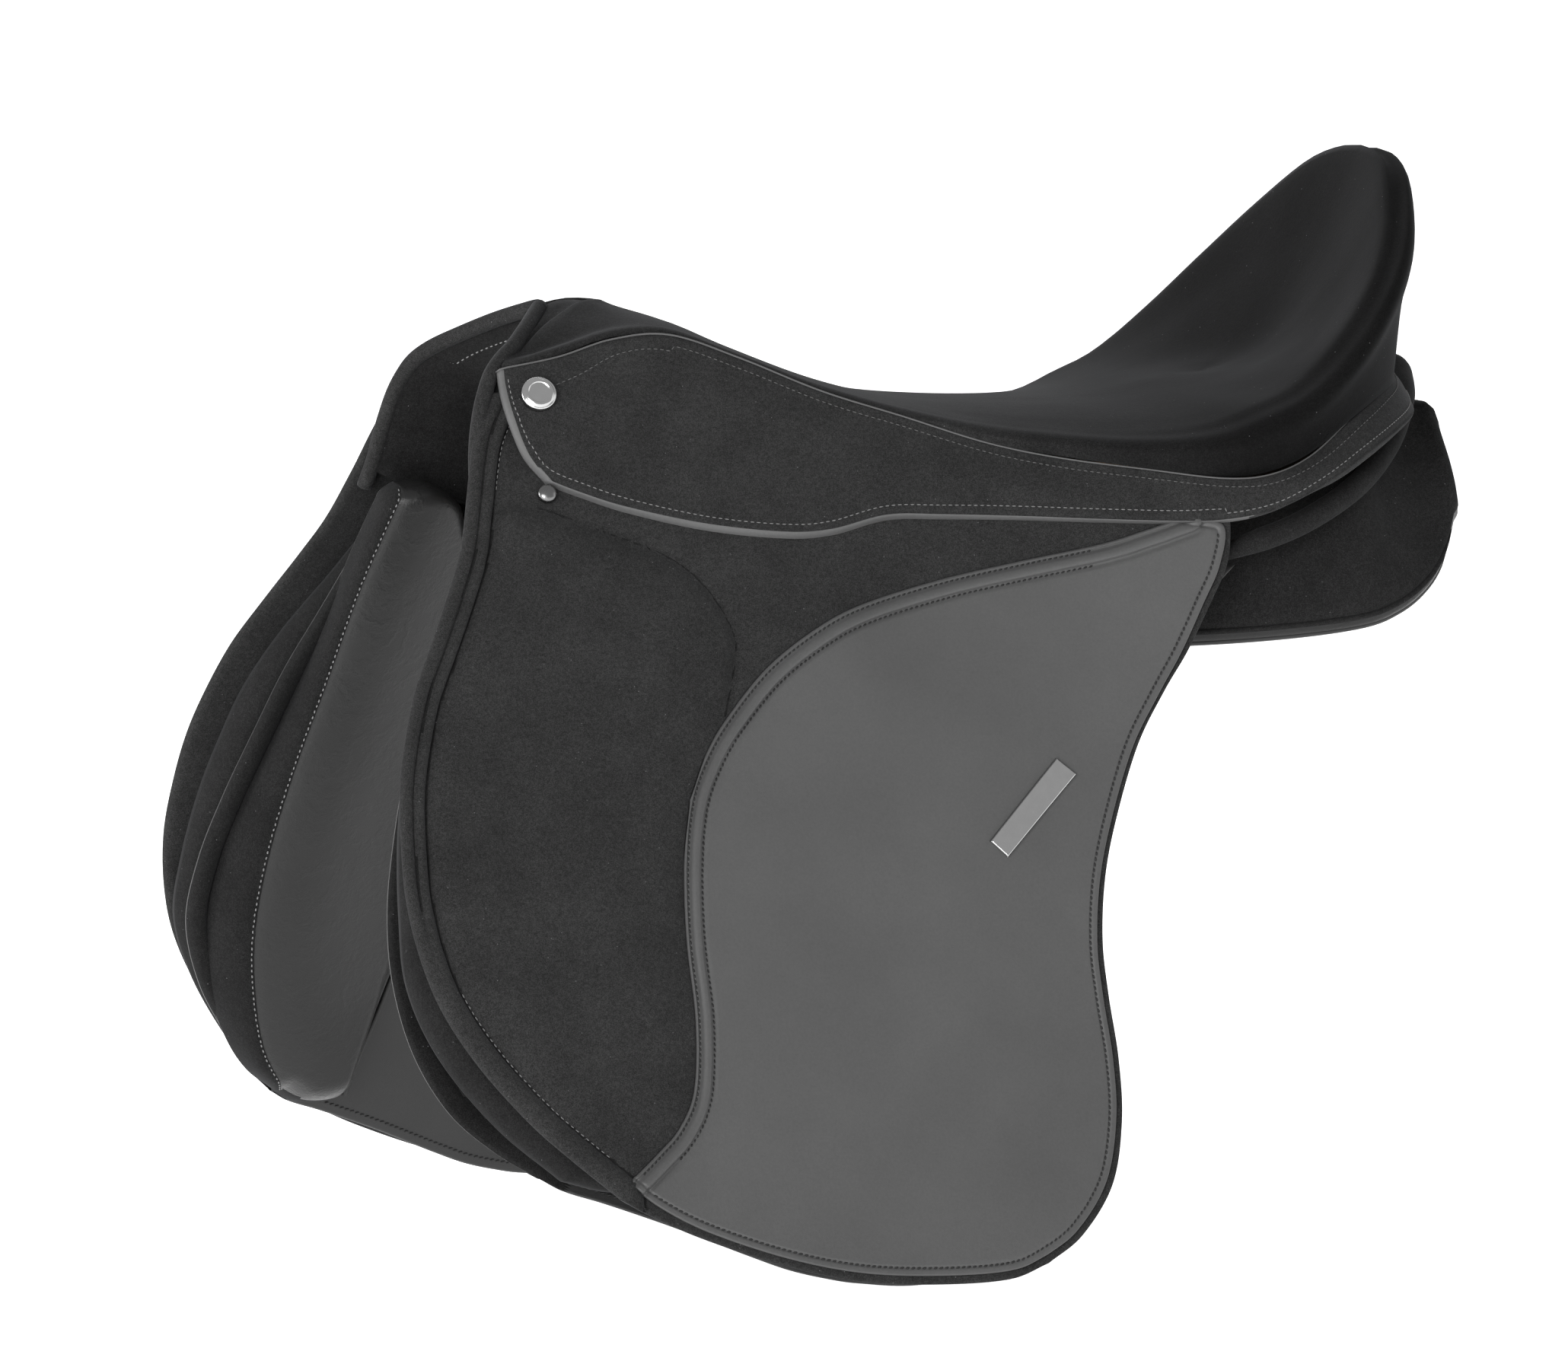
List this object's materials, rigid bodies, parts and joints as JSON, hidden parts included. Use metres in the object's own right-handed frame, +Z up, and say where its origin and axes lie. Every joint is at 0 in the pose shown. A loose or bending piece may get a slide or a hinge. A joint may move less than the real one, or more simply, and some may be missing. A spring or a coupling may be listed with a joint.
{
  "type": "english saddle",
  "caption": "Close-contact riding saddle with a deep suede seat, forward knee pads, lifting flaps and skirts, stirrup bars and girth straps.",
  "frame": {"origin": "middle of the channel between the panels, at the level where the saddle bears on the back, on the saddle's plane of symmetry", "axes": "+X towards the cantle, -X towards the horse's head, -Y to the near (left) side, +Z up"},
  "size_m": [0.5377, 0.5042, 0.4869],
  "materials": {
    "suede": "brushed microfibre suede, black, with a fine pale nap",
    "smooth_leather": "fine-grained dark grey leather, satin",
    "soft_leather": "soft black leather, light creases",
    "strap_leather": "firm black strap leather",
    "lining": "black lining cloth",
    "bright_metal": "polished plating",
    "steel": "forged and brushed",
    "beech_ply": "lacquered beech laminate",
    "webbing": "woven webbing",
    "foam": "open-cell foam"
  },
  "bodies": {
    "saddle": {"tree_head": "beech_ply", "near_tree_rail": "beech_ply", "off_tree_rail": "beech_ply", "tree_cantle": "beech_ply", "gullet_plate": "steel", "gullet_rivets": "steel", "seat_webbing": "webbing", "girth_webbing": "webbing", "seat_foam": "foam", "seat_cover": "suede", "near_skirt_top": "suede", "off_skirt_top": "suede", "near_flap_top": "suede", "off_flap_top": "suede", "near_sweat_flap": "soft_leather", "off_sweat_flap": "soft_leather", "near_knee_block": "suede", "off_knee_block": "suede", "near_panel": "suede", "off_panel": "suede", "near_panel_front": "soft_leather", "off_panel_front": "soft_leather", "near_panel_roll": "soft_leather", "off_panel_roll": "soft_leather", "channel_lining": "lining", "pommel_lining": "lining", "pommel_piping": "lining", "near_stirrup_bar": "steel", "off_stirrup_bar": "steel", "catch_pins": "steel", "bar_rivets": "steel", "near_buckle_guard": "soft_leather", "off_buckle_guard": "soft_leather", "skirt_badges": "bright_metal", "flap_studs": "bright_metal"},
    "near_flap": {"near_flap": "suede", "near_flap_panel": "smooth_leather", "near_knee_pad": "suede", "near_nameplate": "bright_metal"},
    "near_skirt": {"near_skirt": "suede"},
    "near_bar_catch": {"near_bar_catch": "steel"},
    "near_point_strap": {"near_point_strap": "strap_leather"},
    "near_front_strap": {"near_front_strap": "strap_leather"},
    "near_rear_strap": {"near_rear_strap": "strap_leather"},
    "off_flap": {"off_flap": "suede", "off_flap_panel": "smooth_leather", "off_knee_pad": "suede", "off_nameplate": "bright_metal"},
    "off_skirt": {"off_skirt": "suede"},
    "off_bar_catch": {"off_bar_catch": "steel"},
    "off_point_strap": {"off_point_strap": "strap_leather"},
    "off_front_strap": {"off_front_strap": "strap_leather"},
    "off_rear_strap": {"off_rear_strap": "strap_leather"}
  },
  "joints": [
    {"name": "near_flap_lift", "type": "hinge", "parent": "saddle", "child": "near_flap", "pos_m": [-0.043, -0.12294, 0.036], "axis": [-0.989, 0.1479, 0], "range_deg": [0, 75]},
    {"name": "near_skirt_lift", "type": "hinge", "parent": "saddle", "child": "near_skirt", "pos_m": [-0.094, -0.09574, 0.075], "axis": [-0.9364, 0.2474, 0.249], "range_deg": [0, 55]},
    {"name": "near_bar_catch_turn", "type": "hinge", "parent": "saddle", "child": "near_bar_catch", "pos_m": [-0.04014, -0.09123, 0.062], "axis": [-0.0872, -0.9962, 0], "range_deg": [0, 40]},
    {"name": "near_point_strap_swing", "type": "hinge", "parent": "saddle", "child": "near_point_strap", "pos_m": [-0.122, -0.09573, 0.04], "axis": [0, -0.9076, 0.4199], "range_deg": [-2.5, 2.5]},
    {"name": "near_front_strap_swing", "type": "hinge", "parent": "saddle", "child": "near_front_strap", "pos_m": [-0.03, -0.10574, 0.04], "axis": [0, -0.9159, 0.4014], "range_deg": [-2.5, 2.5]},
    {"name": "near_rear_strap_swing", "type": "hinge", "parent": "saddle", "child": "near_rear_strap", "pos_m": [0.014, -0.11106, 0.04], "axis": [0, -0.9217, 0.388], "range_deg": [-2.5, 2.5]},
    {"name": "off_flap_lift", "type": "hinge", "parent": "saddle", "child": "off_flap", "pos_m": [-0.043, 0.12294, 0.036], "axis": [0.989, 0.1479, 0], "range_deg": [0, 75]},
    {"name": "off_skirt_lift", "type": "hinge", "parent": "saddle", "child": "off_skirt", "pos_m": [-0.094, 0.09574, 0.075], "axis": [0.9364, 0.2474, -0.249], "range_deg": [0, 55]},
    {"name": "off_bar_catch_turn", "type": "hinge", "parent": "saddle", "child": "off_bar_catch", "pos_m": [-0.04014, 0.09123, 0.062], "axis": [0.0872, -0.9962, 0], "range_deg": [0, 40]},
    {"name": "off_point_strap_swing", "type": "hinge", "parent": "saddle", "child": "off_point_strap", "pos_m": [-0.122, 0.09573, 0.04], "axis": [0, 0.9076, 0.4199], "range_deg": [-2.5, 2.5]},
    {"name": "off_front_strap_swing", "type": "hinge", "parent": "saddle", "child": "off_front_strap", "pos_m": [-0.03, 0.10574, 0.04], "axis": [0, 0.9159, 0.4014], "range_deg": [-2.5, 2.5]},
    {"name": "off_rear_strap_swing", "type": "hinge", "parent": "saddle", "child": "off_rear_strap", "pos_m": [0.014, 0.11106, 0.04], "axis": [0, 0.9217, 0.388], "range_deg": [-2.5, 2.5]}
  ]
}
